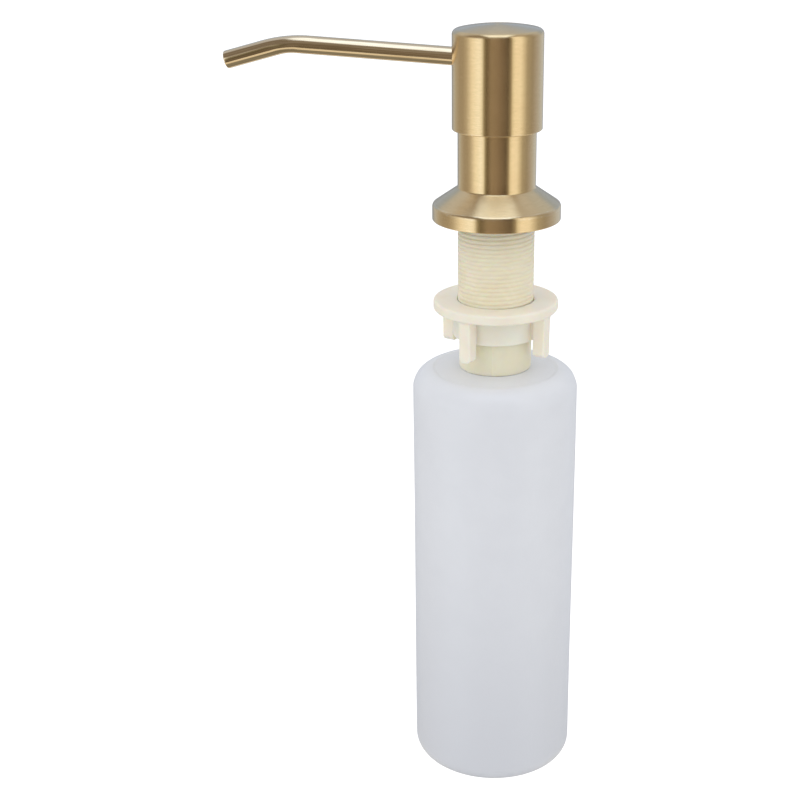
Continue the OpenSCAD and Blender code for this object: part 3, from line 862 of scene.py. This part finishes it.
# What gloss sees near the horizon: azimuth from the front (degrees, right is positive) and colour
WALLS = (
    (-180, (0.32, 0.37, 0.44)),
    (-158, (0.35, 0.39, 0.44)),
    (-140, (0.56, 0.58, 0.60)),
    (-126, (0.50, 0.48, 0.44)),
    (-110, (0.42, 0.38, 0.33)),
    (-96, (0.43, 0.39, 0.33)),
    (-84, (0.57, 0.53, 0.46)),
    (-66, (1.10, 1.08, 1.02)),
    (-48, (1.24, 1.30, 1.36)),
    (-40, (1.12, 1.12, 1.10)),
    (-34, (0.34, 0.31, 0.22)),
    (-28, (0.14, 0.11, 0.07)),
    (-15, (0.31, 0.25, 0.19)),
    (0, (0.27, 0.21, 0.16)),
    (26, (0.12, 0.09, 0.065)),
    (34, (0.32, 0.28, 0.21)),
    (38, (0.84, 0.79, 0.67)),
    (45, (1.12, 1.08, 1.00)),
    (60, (1.10, 1.07, 1.00)),
    (70, (0.80, 0.76, 0.67)),
    (80, (0.48, 0.45, 0.38)),
    (97, (0.38, 0.35, 0.31)),
    (117, (0.49, 0.49, 0.52)),
    (134, (0.57, 0.62, 0.71)),
    (152, (0.62, 0.67, 0.74)),
    (164, (0.36, 0.40, 0.46)),
    (180, (0.32, 0.37, 0.44)),
)


def studio():
    """White surround. Gloss sees two tall soft boxes in front, a ceiling box and grey walls."""
    world = bpy.data.worlds.new("studio")
    world.use_nodes = True
    scene.world = world
    t = Tree(world.node_tree)
    heading = t.add("TexCoord").outputs["Generated"]
    turned = t.add("Mapping", {0: heading, 2: (0, 0, -CAMERA_AZIMUTH)}, vector_type="POINT").outputs[0]
    x, y, z = t.split(turned)
    azimuth = t.math("DEGREES", t.math("ARCTAN2", y, x))
    height = t.math("DEGREES", t.math("ARCSINE", z))

    def window(value, low, high, soft_low, soft_high):
        rise = t.ramp(value, low - soft_low, low + soft_low)
        drop = t.ramp(value, high - soft_high, high + soft_high, 1.0, 0.0)
        return t.math("MULTIPLY", rise, drop)

    # The walls and the two tall boxes
    around = t.add("ValToRGB", {0: t.math("ADD", t.math("DIVIDE", azimuth, 360.0), 0.5)})
    stops = around.color_ramp.elements
    stops.remove(stops[1])
    for i, (angle, colour) in enumerate(WALLS):
        place = angle / 360 + 0.5
        stop = stops[0] if i == 0 else stops.new(place)
        stop.position = place
        stop.color = rgba(colour)
    walls = around.outputs[0]

    # Above the walls: dim at the front, darker at the left, grey behind. The left box is the lower one.
    front = t.mix(t.ramp(y, -0.5, -0.1), (0.24, 0.20, 0.16), (0.38, 0.34, 0.29))
    above = t.mix(t.ramp(x, -0.35, 0.10), (0.62, 0.64, 0.70), front)
    to_right = t.ramp(y, -0.1, 0.2)
    top = t.add("Mix", {0: to_right, 2: t.ramp(height, 12, 26), 3: t.ramp(height, 41, 53)}).outputs[0]
    colour = t.mix(top, walls, above)
    behind = t.ramp(x, -0.8, -0.55, 1.0, 0.0)
    colour = t.mix(t.math("MULTIPLY", behind, t.ramp(height, 3, 9)), colour, (0.41, 0.50, 0.66))
    colour = t.mix(t.math("MULTIPLY", behind, t.ramp(height, 20, 36)), colour, (0.60, 0.63, 0.68))
    # Ceiling box, from just behind the object to well in front of it
    lifted = t.math("MAXIMUM", z, 0.01)
    across, along = t.math("DIVIDE", y, lifted), t.math("DIVIDE", x, lifted)
    ceiling = t.math("MULTIPLY", window(across, -0.38, 0.38, 0.06, 0.06),
                     window(along, -0.22, 0.72, 0.16, 0.10))
    colour = t.mix(ceiling, colour, (1.40, 1.58, 1.85))
    # Floor: a bright apron in front of the object, dim under it
    apron = window(height, -57, -35, 5, 3)
    below = t.mix(apron, (0.29, 0.265, 0.21), (0.94, 0.83, 0.65))
    colour = t.mix(t.ramp(height, -37, -31), below, colour)

    even = t.mix(t.ramp(height, -40, 60), (1.06, 1.06, 1.07), (0.86, 0.86, 0.88))
    even = t.mix(t.ramp(y, 0.1, 0.9, 0.0, 0.5), even, (1.12, 1.12, 1.13))
    sky = t.mix(t.ramp(x, -0.9, 0.9), (0.90, 0.90, 0.91), even)
    path = t.add("LightPath").outputs
    seen = t.mix(path["Is Glossy Ray"], sky, colour)
    seen = t.mix(path["Is Camera Ray"], seen, (1.0, 1.0, 1.0))
    background = t.add("Background", {0: seen, 1: 1.0})
    t.tree.links.new(background.outputs[0], t.add("OutputWorld").inputs[0])


def soft_light(name, place, aim, width, height, power, colour):
    """Large soft box that lights the piece but doesn't show in it."""
    data = bpy.data.lights.new(name, "AREA")
    data.shape = "RECTANGLE"
    data.size = width
    data.size_y = height
    data.energy = power
    data.color = colour
    made = bpy.data.objects.new(name, data)
    made.location = place
    made.rotation_euler = (Vector(aim) - Vector(place)).to_track_quat("-Z", "Y").to_euler()
    made.visible_camera = False
    made.visible_glossy = False
    scene.collection.objects.link(made)


BOTTLE_TRAVEL = 195.0
FLOOR_GAP = 10.0


def floor():
    """Pale floor, below the bottle's lowest place: the bottle hangs from its counter."""
    made, t = material("pale_floor")
    place = t.add("TexCoord").outputs["Object"]
    dust = t.noise(place, scale=3.0, detail=2.0)
    tone = t.mix(t.ramp(dust, 0.3, 0.7), (0.93, 0.93, 0.93), (0.95, 0.95, 0.95))
    surface(t, {"Base Color": tone, "Roughness": 0.9, "Specular IOR Level": 0.1,
                "Emission Color": (1.0, 1.0, 1.0, 1.0), "Emission Strength": 0.3})
    sides, radius = 96, 8000.0
    level = BASE - BOTTLE_TRAVEL - FLOOR_GAP
    ring = [(radius * math.cos(a), radius * math.sin(a), level) for a in even_angles(sides)]
    ground = new_object("floor", ring, [list(range(sides))])
    ground.data.materials.append(made)
    ground.visible_glossy = False
    ground.visible_diffuse = False


finish_nodes()
head_cap()
spout_pipe()
collar_shell()
shank()
wing_nut()
bottle()
return_spring()
camera()
studio()
floor()
soft_light("key", (-0.55, -0.55, 0.75), (0, 0, -0.08), 0.7, 0.7, 1.5, (1.0, 1.0, 1.0))
soft_light("fill", (0.75, -0.35, 0.55), (0, 0, -0.08), 0.7, 0.7, 0.5, (1.0, 1.0, 1.0))
soft_light("back", (0.0, 0.7, 0.8), (0, 0, -0.1), 0.8, 0.8, 0.5, (1.0, 1.0, 1.0))
scene.view_settings.view_transform = "Standard"
